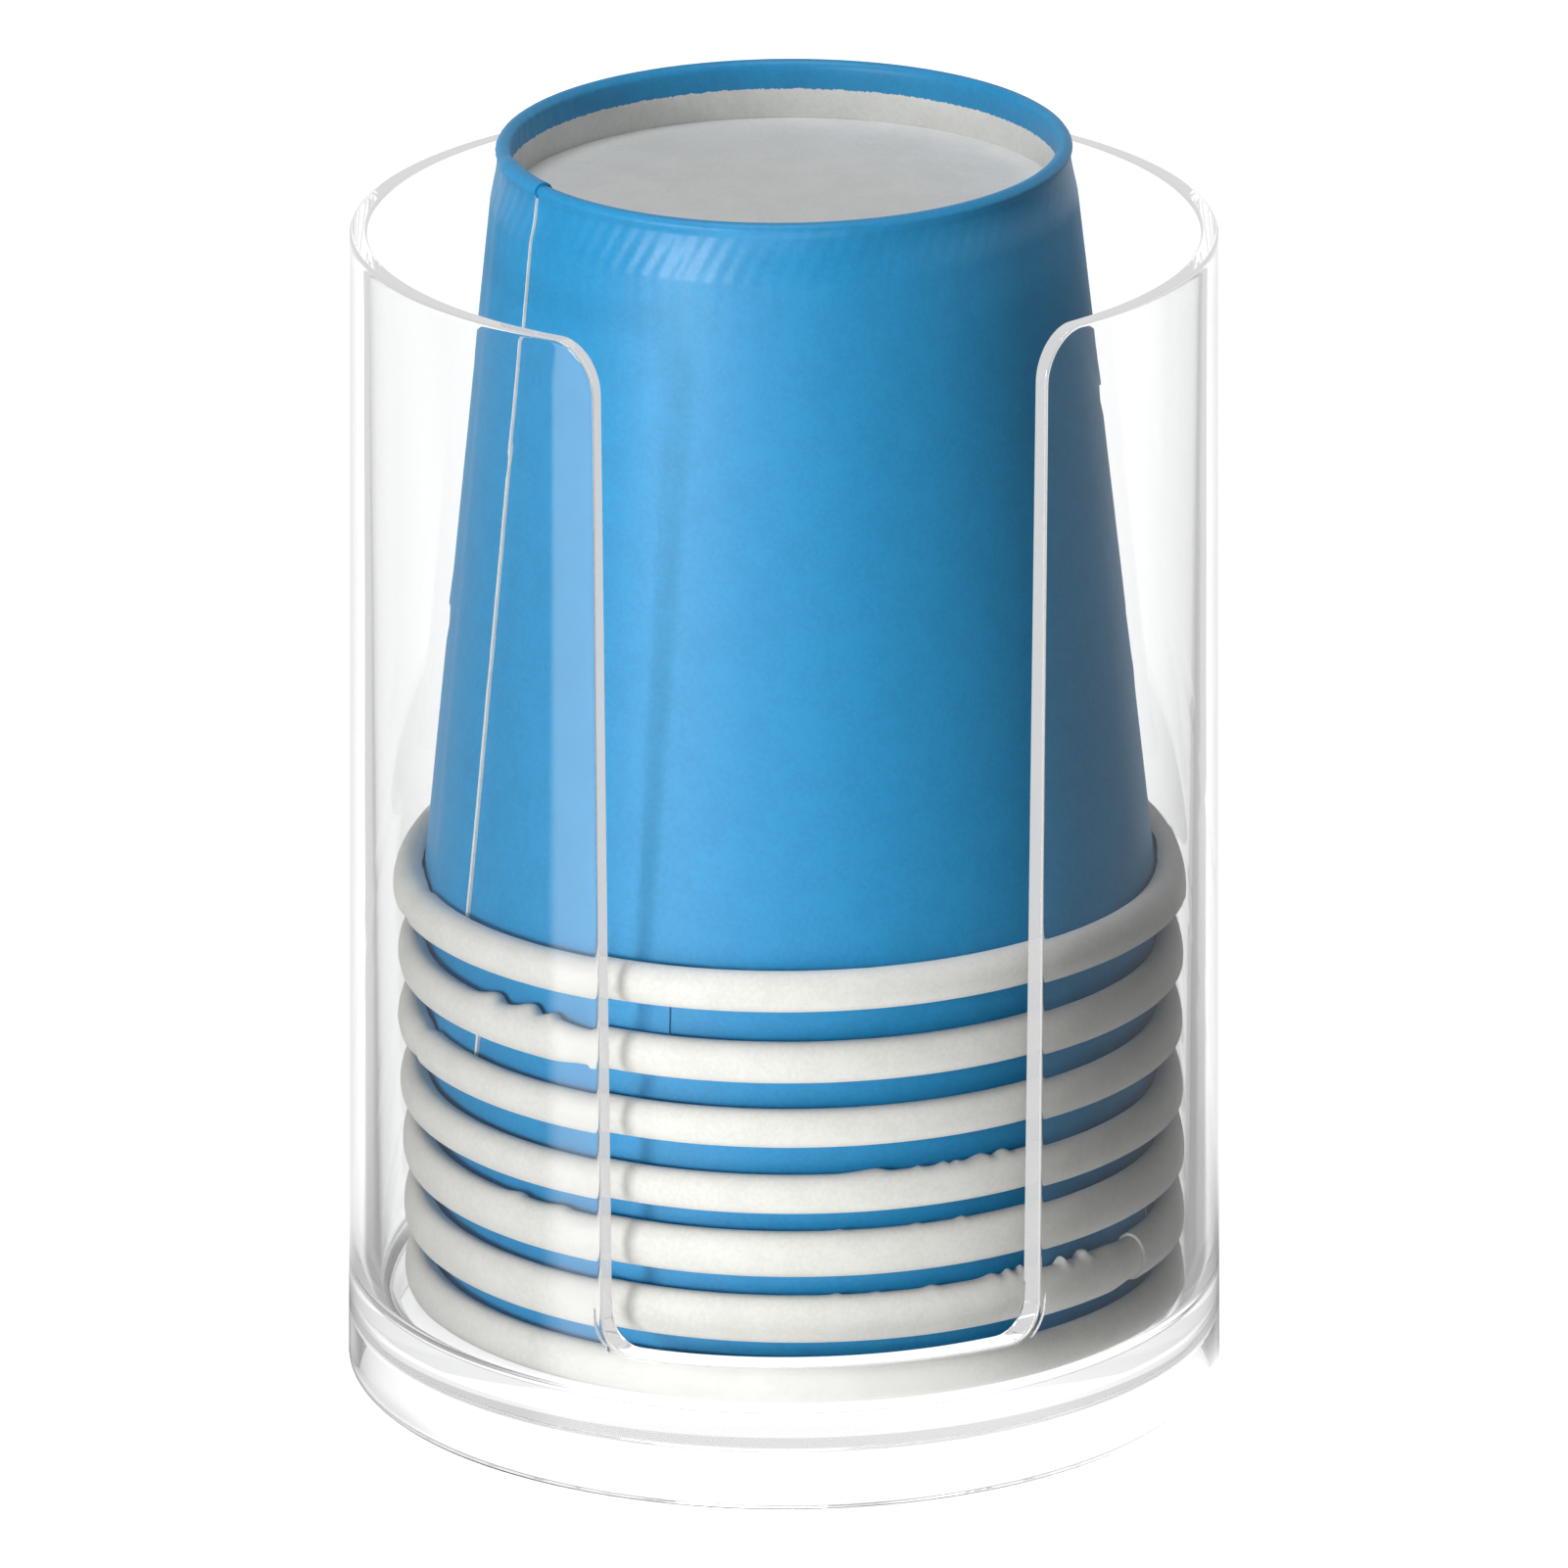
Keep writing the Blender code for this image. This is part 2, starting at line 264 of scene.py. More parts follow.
class DispenserSettings(bpy.types.PropertyGroup):
    """Sizes and finish of the moulded dispenser."""

    height: length("Height", 0.1052, "Top of the lip")
    lip_outside: length("Lip radius", 0.0380, "Outside radius under the lip")
    lip_inside: length("Well radius at the lip", 0.0364, "Inside radius under the lip")
    foot_outside: length("Foot radius", 0.0390, "Outside radius of the foot")
    floor_inside: length("Well radius at the floor", 0.0363, "Inside radius over the floor")
    floor_height: length("Floor height", 0.0081, "Upper face of the raised floor")
    floor_fillet: length("Floor fillet", 0.0016, "Fillet between the floor and the wall")
    cavity_height: length("Foot cavity", 0.0053, "Height of the hollow under the floor")
    foot_wall: length("Foot wall", 0.0019, "Thickness of the foot ring")
    foot_fillet: length("Foot fillet", 0.0010, "Fillet at the top of the foot's hollow")
    foot_round: length("Foot edge", 0.0005, "Rounding of the foot's two lower edges")
    slot_lip_half: length("Slot half width at the lip", 0.0194, "Half width of the slot, top")
    slot_sill_half: length("Slot half width at the sill", 0.0186, "Half width of the slot, foot")
    slot_sill: length("Slot sill", 0.0135, "Height of the slot's sill")
    slot_top_round: length("Slot top corner", 0.0049, "Corner radius where the slot meets the lip")
    slot_low_round: length("Slot low corner", 0.0034, "Corner radius beside the sill")
    edge_round: length("Edge rounding", 0.0003, "Radius along the slot's and the lip's edges")
    edge_margin: length("Edge margin", 0.0004, "Even strip inside the rounded edges")
    tint: colour("Tint", (0.995, 1.0, 1.0), "Tint of the clear plastic")
    refraction: share("Refractive index", 1.49, "Of the clear plastic")
    roughness: share("Roughness", 0.005, "Of the polished faces")
    trapped: share("Trapped light", 0.68, "Even brightness of light guided along the wall")


class StageSettings(bpy.types.PropertyGroup):
    """Camera, lamps and floor."""

    azimuth: angle("Azimuth", -5.4, "Camera's turn about the object")
    elevation: angle("Elevation", 19.34, "Camera's height above the horizon")
    distance: length("Distance", 1.357, "From the camera to the middle of the object")
    aim_height: length("Aim height", 0.0536, "Height that the camera looks at")
    focal_share: share("Focal length", 9.778, "Focal length as a share of the frame's width")
    floor_size: length("Floor", 6.0, "Side of the floor")
    key_azimuth: angle("Key azimuth", -44.0, "Turn of the key lamp about the object")
    key_elevation: angle("Key elevation", 8.0, "Key lamp's height above the horizon")
    key_distance: length("Key distance", 0.9, "From the key lamp to the object")
    key_width: length("Key width", 0.20, "Width of the key lamp's panel")
    key_rise: length("Key height", 0.22, "Height of the key lamp's panel")
    key_strength: share("Key strength", 5.15, "Watts of the key lamp")
    top_elevation: angle("Top elevation", 78.0, "Overhead lamp's height above the horizon")
    top_distance: length("Top distance", 1.0, "From the overhead lamp to the object")
    top_side: length("Top side", 0.5, "Side of the overhead lamp's panel")
    top_strength: share("Top strength", 4.8, "Watts of the lamp overhead")
    ambient: share("Ambient", 0.12, "Strength of the soft light all round")
    table_seen: share("Table seen", 0.88, "Brightness added to the table for the camera")
    table_white: share("Table white", 0.80, "Share of light that the table shows the camera")
    table_grey: share("Table grey", 0.40, "Share of light that the table throws on the object")
    table_front: share("Table in front", 3.1, "Brightness that mirrors see at the front left")
    table_beside: share("Table beside", 0.40, "Brightness that clear walls bend in from the sides")
    table_glow: share("Table glow", 0.8, "Light that the table adds from the front left")
    room_back: share("Room behind", 1.0, "Brightness that mirrors see behind the object")
    room_front: share("Room in front", 0.15, "Brightness that mirrors see in front of it")
    room_side: share("Room beside", 0.35, "Brightness that mirrors see added at both sides")
    room_card: share("Room card", 1.8, "Brightness of a large pale card on the right")
    room_through: share("Room through", 1.20, "Brightness behind that clear walls let through")
    room_bent: share("Room bent", 0.85, "Brightness in front that clear walls bend to the eye")


def ease(x):
    """Smooth step from nought to one, with level ends."""
    x = np.clip(x, 0.0, 1.0)
    return x * x * (3.0 - 2.0 * x)


def fill_mesh(name, points, quads, triangles=None):
    """Put whole arrays of points and faces into a new mesh, smooth shaded."""
    corners = [quads.reshape(-1)]
    starts = [np.arange(len(quads)) * 4]
    if triangles is not None:
        corners.append(triangles.reshape(-1))
        starts.append(len(quads) * 4 + np.arange(len(triangles)) * 3)
    corners = np.concatenate(corners).astype(np.int32)
    starts = np.concatenate(starts).astype(np.int32)
    mesh = bpy.data.meshes.new(name)
    mesh.vertices.add(len(points))
    mesh.vertices.foreach_set("co", np.ascontiguousarray(points, np.float32).reshape(-1))
    mesh.loops.add(len(corners))
    mesh.loops.foreach_set("vertex_index", corners)
    mesh.polygons.add(len(starts))
    mesh.polygons.foreach_set("loop_start", starts)
    mesh.polygons.foreach_set("use_smooth", np.ones(len(starts), bool))
    mesh.update(calc_edges=True)
    return mesh


def store_values(mesh, name, domain, values):
    """Keep one number for each point or face corner under a name."""
    store = mesh.attributes.new(name, "FLOAT", domain)
    store.data.foreach_set("value", np.asarray(values, np.float32).reshape(-1))


def lattice(rows, columns, wrap_rows, wrap_columns):
    """Corner numbers of the quads of a grid of rows by columns."""
    row = np.arange(rows if wrap_rows else rows - 1)
    column = np.arange(columns if wrap_columns else columns - 1)
    row, column = np.meshgrid(row, column, indexing="ij")
    row_after = (row + 1) % rows
    column_after = (column + 1) % columns
    quads = [row * columns + column, row * columns + column_after,
             row_after * columns + column_after, row_after * columns + column]
    return np.stack(quads, -1).reshape(-1, 4)


def turned_grid(radius, turn, height):
    """Points (radius cos turn, radius sin turn, height)."""
    return np.stack([radius * np.cos(turn), radius * np.sin(turn), height], -1)


def turned_mesh(name, grid):
    """Closed turned form: the grid's rows run along its section from axis to axis, and
    the first and the last row shrink to one point each.
    """
    rows, columns = grid.shape[:2]
    points = np.concatenate([grid[1:-1].reshape(-1, 3), grid[:1, 0], grid[-1:, 0]])
    quads = lattice(rows - 2, columns, False, True)
    column = np.arange(columns)
    after = (column + 1) % columns
    last = (rows - 3) * columns
    first_pole = (rows - 2) * columns
    fan_one = np.stack([np.full(columns, first_pole), after, column], -1)
    fan_two = np.stack([np.full(columns, first_pole + 1), last + column, last + after], -1)
    return fill_mesh(name, points, quads, np.concatenate([fan_one, fan_two]))


def volume_sign(mesh):
    """Sign of the volume that a closed mesh encloses, by its faces' outward sense."""
    def read(key, width):
        values = np.empty(len(mesh.polygons) * width, np.float32)
        mesh.polygons.foreach_get(key, values)
        return values.reshape(-1, width)

    outward = (read("center", 3) * read("normal", 3)).sum(1) * read("area", 1)[:, 0]
    return 1 if outward.sum() > 0 else -1


def add_piece(mesh, node, body, material):
    """Link a finished mesh, let it ride on its body and stand for its CAD node."""
    if volume_sign(mesh) < 0:
        mesh.flip_normals()
    piece = bpy.data.objects.new(mesh.name, mesh)
    bpy.context.scene.collection.objects.link(piece)
    mesh.materials.append(material)
    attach(piece, body)
    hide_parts(node)


def add_to_cups(cup, make_mesh, node_end, material):
    """Make one kind of piece for every cup, from the lowest up."""
    for number, body in enumerate(CUP_BODIES, 1):
        mesh = make_mesh(cup, body, number)
        add_piece(mesh, f"{body}_{node_end}", body, material)


class Shader:
    """Small helper that adds nodes to a material and links them."""

    def __init__(self, name):
        self.material = bpy.data.materials.new(name)
        self.material.use_nodes = True
        self.start(self.material.node_tree, "ShaderNodeOutputMaterial")

    @classmethod
    def of_tree(cls, tree, output):
        """Helper for a node tree that isn't a material's."""
        made = cls.__new__(cls)
        made.material = None
        made.start(tree, output)
        return made

    def start(self, tree, output):
        """Empty the tree and add its output."""
        self.tree = tree
        self.tree.nodes.clear()
        self.output = self.add(output)

    def add(self, kind, inputs=None, **settings):
        """Add a node; an input is a plain value or another node's output socket."""
        made = self.tree.nodes.new(kind)
        for key, value in settings.items():
            setattr(made, key, value)
        for key, value in (inputs or {}).items():
            socket = made.inputs[key]
            if isinstance(value, bpy.types.NodeSocket):
                self.tree.links.new(value, socket)
            else:
                socket.default_value = value
        return made

    def surface(self, socket):
        """Link a shader to the material's surface."""
        self.tree.links.new(socket, self.output.inputs["Surface"])
        return self.material

    def maths(self, operation, first, second=0.0, third=0.0):
        """One Math node's value."""
        node = self.add("ShaderNodeMath", {0: first, 1: second, 2: third}, operation=operation)
        return node.outputs[0]

    def noise(self, place, scale, detail=2.0, roughness=0.5):
        """Noise about one half, from nought to one."""
        node = self.add("ShaderNodeTexNoise", {"Vector": place, "Scale": scale,
                                               "Detail": detail, "Roughness": roughness})
        return node.outputs["Fac"]

    def span(self, value, low, high, to_low=0.0, to_high=1.0):
        """Value mapped smoothly from one range to another."""
        node = self.add("ShaderNodeMapRange",
                        {"Value": value, "From Min": low, "From Max": high,
                         "To Min": to_low, "To Max": to_high}, interpolation_type="SMOOTHSTEP")
        return node.outputs["Result"]

    def mix(self, factor, first, second):
        """Colour mixed from two colours."""
        node = self.add("ShaderNodeMix", data_type="RGBA")
        for index, value in ((0, factor), (6, first), (7, second)):
            if isinstance(value, bpy.types.NodeSocket):
                self.tree.links.new(value, node.inputs[index])
            elif index == 0:
                node.inputs[index].default_value = value
            else:
                node.inputs[index].default_value = (*value[:3], 1.0)
        return node.outputs[2]

    def either(self, factor, first, second):
        """The first shader where the factor is nought, the second where it is one."""
        return self.add("ShaderNodeMixShader", {0: factor, 1: first, 2: second}).outputs[0]

    def glow(self, strength):
        """White light of its own."""
        return self.add("ShaderNodeEmission", {"Strength": strength}).outputs[0]

    def mottle(self, place, cloud, grain, grain_share):
        """A coarse and a fine noise added by their shares."""
        coarse = self.maths("MULTIPLY", self.noise(place, *cloud), 1.0 - grain_share)
        return self.maths("MULTIPLY_ADD", self.noise(place, *grain), grain_share, coarse)

    def undiffused(self, path):
        """One for a ray that has met no matt face since the camera, else nought."""
        return self.maths("LESS_THAN", path["Diffuse Depth"], SOME_TURN)

    def polished(self, path):
        """One for a ray that was mirrored or bent last, else nought."""
        return self.maths("MAXIMUM", path["Is Glossy Ray"], path["Is Transmission Ray"])

    def straight(self, path):
        """One for a bent ray that hasn't been mirrored between two walls, else nought."""
        mirrored = self.maths("GREATER_THAN", path["Glossy Depth"], SOME_TURN)
        crossed = self.maths("GREATER_THAN", path["Transmission Depth"], THREE_TURNS)
        open_way = self.maths("SUBTRACT", 1.0, self.maths("MULTIPLY", mirrored, crossed))
        return self.maths("MULTIPLY", path["Is Transmission Ray"], open_way)

    def between(self, past_left, past_right):
        """One past the left-hand line and not yet past the right-hand one."""
        return self.maths("MULTIPLY", past_left, self.maths("SUBTRACT", 1.0, past_right))

    def place(self):
        """Object coordinates."""
        return self.add("ShaderNodeTexCoord").outputs["Object"]


def grey(value):
    """Grey as a colour with nothing seen through."""
    return (value, value, value, 1.0)


def paper_surface(shader, base, rough, height, strength):
    """Coated paper of a colour and roughness, with a fine bump of its own."""
    bump = shader.add("ShaderNodeBump",
                      {"Height": height, "Strength": strength, "Distance": PAPER_BUMP})
    paper = shader.add("ShaderNodeBsdfPrincipled",
                       {"Base Color": base, "Roughness": rough, "Normal": bump.outputs[0],
                        "IOR": PAPER_REFRACTION})
    return shader.surface(paper.outputs[0])


def printed_paper_material(cup):
    """Coated paper whose outer face is flooded with blue ink up to a ragged edge."""
    shader = Shader("printed_paper")
    place = shader.place()
    mottle = shader.mottle(place, PRINT_CLOUD, PRINT_GRAIN, PRINT_GRAIN_SHARE)
    mottle = shader.span(mottle, *PRINT_SPREAD)
    blue = shader.mix(mottle, cup.print_shade, cup.print_colour)
    white = shader.mix(mottle, cup.paper_shade, cup.paper_colour)
    inset = shader.add("ShaderNodeAttribute", attribute_name="print_inset").outputs["Fac"]
    speckle = shader.noise(place, *PRINT_SPECKLE)
    ragged = shader.maths("MULTIPLY_ADD", speckle, RAGGED_DEPTH,
                          shader.maths("SUBTRACT", inset, RAGGED_DEPTH / 2))
    printed = shader.span(ragged, -RAGGED_BLUR, RAGGED_BLUR)
    base = shader.mix(printed, white, blue)
    pressed = shader.add("ShaderNodeAttribute", attribute_name="pressed").outputs["Fac"]
    rough = shader.span(printed, 0.0, 1.0, cup.paper_roughness, cup.print_roughness)
    rough = shader.maths("MULTIPLY_ADD", pressed, -cup.pressed_gloss, rough)
    return paper_surface(shader, base, rough, mottle, PRINT_RELIEF)


def plain_paper_material(cup):
    """Bare board of the base disc."""
    shader = Shader("plain_paper")
    mottle = shader.mottle(shader.place(), BOARD_CLOUD, BOARD_GRAIN, BOARD_GRAIN_SHARE)
    shade = tuple(cup.disc_shade * value for value in cup.disc_colour)
    base = shader.mix(shader.span(mottle, *BOARD_SPREAD), shade, cup.disc_colour)
    return paper_surface(shader, base, cup.paper_roughness, mottle, BOARD_RELIEF)


def clear_plastic_material(dispenser):
    """Polished clear plastic, through which light falls straight onto the cups.

    Shadow rays and rays from matt faces pass unbent, dimmed most where the wall is
    seen aslant and in its rounded edges. Where a ray has been mirrored many times
    inside the wall, an even pale glow is painted on the plastic in place of the
    light that the wall would guide out.
    """
    shader = Shader("clear_plastic")
    place = shader.place()
    wave = shader.noise(place, *PLASTIC_WAVE)
    bump = shader.add("ShaderNodeBump",
                      {"Height": wave, "Strength": PLASTIC_RELIEF, "Distance": PLASTIC_BUMP})
    plastic = shader.add("ShaderNodeBsdfPrincipled", {
        "Base Color": (*dispenser.tint, 1.0), "Roughness": dispenser.roughness,
        "IOR": dispenser.refraction, "Transmission Weight": 1.0, "Normal": bump.outputs[0]})
    facing = shader.add("ShaderNodeLayerWeight", {"Blend": 0.5}).outputs["Facing"]
    edge = shader.add("ShaderNodeAttribute", attribute_name="edge_round").outputs["Fac"]
    let_through = shader.maths("MULTIPLY", shader.span(facing, *ASLANT_SHADE),
                               shader.span(edge, *EDGE_SHADE))
    dimmed = shader.add("ShaderNodeCombineColor",
                        {0: let_through, 1: let_through, 2: let_through})
    clear = shader.add("ShaderNodeBsdfTransparent", {"Color": dimmed.outputs[0]}).outputs[0]
    path = shader.add("ShaderNodeLightPath").outputs
    # Painted glow: a ray mirrored more than seven times inside the wall sees the plastic glow
    # evenly, in place of the guided light
    trapped = shader.maths("GREATER_THAN", path["Glossy Depth"], TRAPPED_AFTER)
    body = shader.either(trapped, plastic.outputs[0], shader.glow(dispenser.trapped))
    lit = shader.either(path["Is Diffuse Ray"], body, clear)
    return shader.surface(shader.either(path["Is Shadow Ray"], lit, clear))


def slot_edge(dispenser):
    """Front-view outline of the slot and lip as (angle from the slot's middle, height).

    From the sill's middle up the right side and along the lip to the back: a level
    sill, a quarter circle, a leaning side, a quarter circle and the level lip. The
    widths are those in the upright plane through the slot's two lip corners, so an
    angle is the arc tangent of width over that plane's depth.
    """
    low, high = dispenser.slot_low_round, dispenser.slot_top_round
    depth = math.sqrt(dispenser.lip_outside ** 2 - dispenser.slot_lip_half ** 2)
    sill_end = dispenser.slot_sill_half - low
    side_foot = dispenser.slot_sill + low
    side_top = dispenser.height - high
    sill = np.linspace(0.0, 1.0, SILL_POINTS, endpoint=False)
    corner = np.radians(np.linspace(270.0, 360.0, CORNER_POINTS, endpoint=False))
    side = np.linspace(0.0, 1.0, SIDE_POINTS, endpoint=False)
    shoulder = np.radians(np.linspace(180.0, 90.0, SHOULDER_POINTS, endpoint=False))
    width = np.concatenate([
        sill_end * sill,
        sill_end + low * np.cos(corner),
        dispenser.slot_sill_half + (dispenser.slot_lip_half - dispenser.slot_sill_half) * side,
        dispenser.slot_lip_half + high + high * np.cos(shoulder)])
    rise = np.concatenate([
        np.full(len(sill), dispenser.slot_sill),
        side_foot + low * np.sin(corner),
        side_foot + (side_top - side_foot) * side,
        side_top + high * np.sin(shoulder)])
    turn = np.arctan2(width, depth)
    lip_start = math.atan2(dispenser.slot_lip_half + high, depth)
    lip = np.linspace(lip_start, math.pi, LIP_POINTS)
    level = np.full(len(lip), dispenser.height)
    return np.concatenate([turn, lip]), np.concatenate([rise, level])


def dispenser_grid(dispenser):
    """Grids of radius, angle and height over the whole moulding, from the floor's middle
    up the well, over the rounded edge, down the outside and under the foot, and each
    row's share in that edge.

    On the wall, a point lies a distance in from the slot-and-lip edge along the edge's
    normal, then on a straight line of the unrolled wall to an even ring over the
    floor. Its radius is the wall's middle radius plus or minus a half thickness, which
    grows along the edge's flat face and then round a quarter circle.
    """
    turn, rise = slot_edge(dispenser)
    turn = np.concatenate([turn, math.tau - turn[-2:0:-1]])
    rise = np.concatenate([rise, rise[-2:0:-1]])
    count = len(turn)
    lip_z = dispenser.height - (dispenser.lip_outside - dispenser.lip_inside) / 2
    well_z = dispenser.floor_height + dispenser.floor_fillet
    mean = (dispenser.lip_outside + dispenser.lip_inside) / 2

    def outside(z):
        share_down = (lip_z - z) / (lip_z - dispenser.foot_round)
        flare = dispenser.foot_outside - dispenser.lip_outside
        return dispenser.lip_outside + flare * share_down

    def inside(z):
        share_down = (lip_z - z) / (lip_z - well_z)
        draft = dispenser.floor_inside - dispenser.lip_inside
        return dispenser.lip_inside + draft * share_down

    def half_wall(z):
        z = np.minimum(z, lip_z)
        return (outside(z) - inside(z)) / 2

    def middle(z):
        z = np.minimum(z, lip_z)
        return (outside(z) + inside(z)) / 2

    along = turn * mean
    step_along = (np.roll(along, -1) - np.roll(along, 1) + math.pi * mean) % (math.tau * mean)
    step_along = step_along - math.pi * mean
    step_rise = np.roll(rise, -1) - np.roll(rise, 1)
    size = np.hypot(step_along, step_rise)
    inward = (step_rise / size, -step_along / size)
    nose = half_wall(rise)
    ring = np.arange(count) / count * math.tau * mean

    rows_in, rows_out = [], []
    edge = dispenser.edge_round
    flat = nose - edge
    section = [(0.0, share_off * flat) for share_off in (0.0, 0.5, 0.9)]
    section += [(edge * (1.0 - math.cos(tilt)), flat + edge * math.sin(tilt))
                for tilt in np.radians(np.linspace(0.0, 90.0, EDGE_ROWS))]
    for depth, off in section:
        a = (along + inward[0] * depth) / mean
        z = rise + inward[1] * depth
        off = half_wall(z) * off / nose
        rows_out.append((middle(z) + off, a, z))
        rows_in.append((middle(z) - off, a, z))
    margin = edge + dispenser.edge_margin
    start_along = along + inward[0] * margin
    start_z = rise + inward[1] * margin
    for step in np.linspace(0.0, 1.0, WALL_ROWS):
        a = (start_along + (ring - start_along) * step) / mean
        z = start_z + (well_z - start_z) * step
        rows_out.append((outside(z), a, z))
        rows_in.append((inside(z), a, z))

    even = ring / mean
    full = np.ones(count)

    def ring_row(radius, z):
        return (radius * full, even, z * full)

    def arc_rows(radius, z, size, degrees):
        return [ring_row(radius + size * math.cos(tilt), z + size * math.sin(tilt))
                for tilt in np.radians(degrees)]

    flat_floor = dispenser.floor_inside - dispenser.floor_fillet
    floor_rows = [ring_row(radius, dispenser.floor_height)
                  for radius in np.linspace(0.0, flat_floor, FLOOR_ROWS, endpoint=False)]
    floor_rows += arc_rows(flat_floor, well_z, dispenser.floor_fillet,
                           np.linspace(-90.0, 0.0, FILLET_ROWS, endpoint=False))

    foot = dispenser.foot_round
    fillet = dispenser.foot_fillet
    foot_inside = dispenser.foot_outside - dispenser.foot_wall
    foot_rows = [ring_row(outside(z), z) for z in np.linspace(well_z, foot, FOOT_ROWS)[1:]]
    foot_rows += arc_rows(dispenser.foot_outside - foot, foot, foot,
                          np.linspace(0.0, -90.0, FOOT_ROUND_ROWS)[1:])
    foot_rows += arc_rows(foot_inside + foot, foot, foot,
                          np.linspace(-90.0, -180.0, FOOT_ROUND_ROWS))
    foot_rows += arc_rows(foot_inside - fillet, dispenser.cavity_height - fillet, fillet,
                          np.linspace(0.0, 90.0, FOOT_ROUND_ROWS + 1))
    foot_rows += [ring_row(radius, dispenser.cavity_height)
                  for radius in np.linspace(foot_inside - fillet, 0.0, FLOOR_ROWS)[1:]]

    rows = floor_rows + rows_in[:0:-1] + rows_out + foot_rows
    radius, turn, height = (np.array([row[part] for row in rows]) for part in range(3))
    wall_rows = np.arange(len(rows_in))
    rounded = np.clip((len(section) - wall_rows) / 2.0, 0.0, 1.0)
    rounded = np.concatenate([
        np.zeros(len(floor_rows)), rounded[:0:-1], rounded, np.zeros(len(foot_rows))])
    return radius, turn - math.pi / 2, height, rounded


class CupLine:
    """Middle line of a cup's paper, shared by the side wall and the base disc."""

    def __init__(self, cup, curl_share=1.0, spread=0.0):
        curl_height = cup.curl_height * curl_share
        curl_width = cup.curl_width + spread
        self.rim_z = curl_height / 2
        self.curl_centre = cup.rim_radius + spread - curl_width / 2
        self.curl_half = (curl_width - cup.paper) / 2
        self.curl_rise = (curl_height - cup.paper) / 2
        self.spacing = cup.paper + cup.disc_paper + 2 * cup.seam_gap
        self.fold = self.spacing / 2
        self.fold_z = cup.height - self.fold - cup.paper / 2
        self.rim_r = self.curl_centre - self.curl_half
        self.fold_r = cup.base_radius - cup.paper / 2
        self.taper = (self.rim_r - self.fold_r) / (self.fold_z - self.rim_z)

    def wall(self, z):
        """Middle radius of the cone at a height."""
        return self.rim_r - self.taper * (z - self.rim_z)


def in_stack(points, body, number):
    """Points of a cup at the origin, moved to its place: tipped a little to the left,
    a little aside, and up to its CAD node's foot plus what it has settled.

    Tipping takes x by minus the tilt times z, and z by the tilt times x.
    """
    tilt = math.radians(TILT_DEGREES[number - 1])
    aside = ASIDE_MM[number - 1] * MM
    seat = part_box(f"{body}_sidewall")[0][2] + SETTLE_MM[number - 1] * MM
    x, y, z = (points[..., part] for part in range(3))
    return np.stack([x - tilt * z + aside, y, z + tilt * x + seat], -1)


def loose_ends(cup, azimuth, number):
    """How far the end of a cup's roll wanders, in turns, and how far it stands up torn.

    The wander is a sum of sine waves. A tooth climbs over its width to its height and
    falls away over a third of it; the front ones have their places in a table, and
    seeded small ones go round the back.
    """
    draw = np.random.default_rng(number)
    wander = np.zeros_like(azimuth)
    for waves in WANDER_WAVES:
        wander += np.sin(waves * azimuth + draw.uniform(0, math.tau)) / math.sqrt(waves)
    teeth = [(math.radians(turn - 90.0), math.radians(width), tall)
             for turn, width, tall in TORN_ENDS.get(number, ())]
    for _ in range(BACK_TEETH):
        teeth.append((draw.uniform(0.0, math.pi), math.radians(draw.uniform(*BACK_WIDTHS)),
                      draw.uniform(*BACK_SHARES)))
    lift = np.zeros_like(azimuth)
    for place, width, tall in teeth:
        past = (azimuth - place + math.pi) % math.tau - math.pi
        climb = ease(1.0 + past / width) ** TOOTH_POWER
        fall = 1.0 - ease(past / (TOOTH_FALL * width))
        lift = np.maximum(lift, tall * np.where(past < 0.0, climb, fall))
    return cup.curl_wander * wander, cup.torn_height * lift


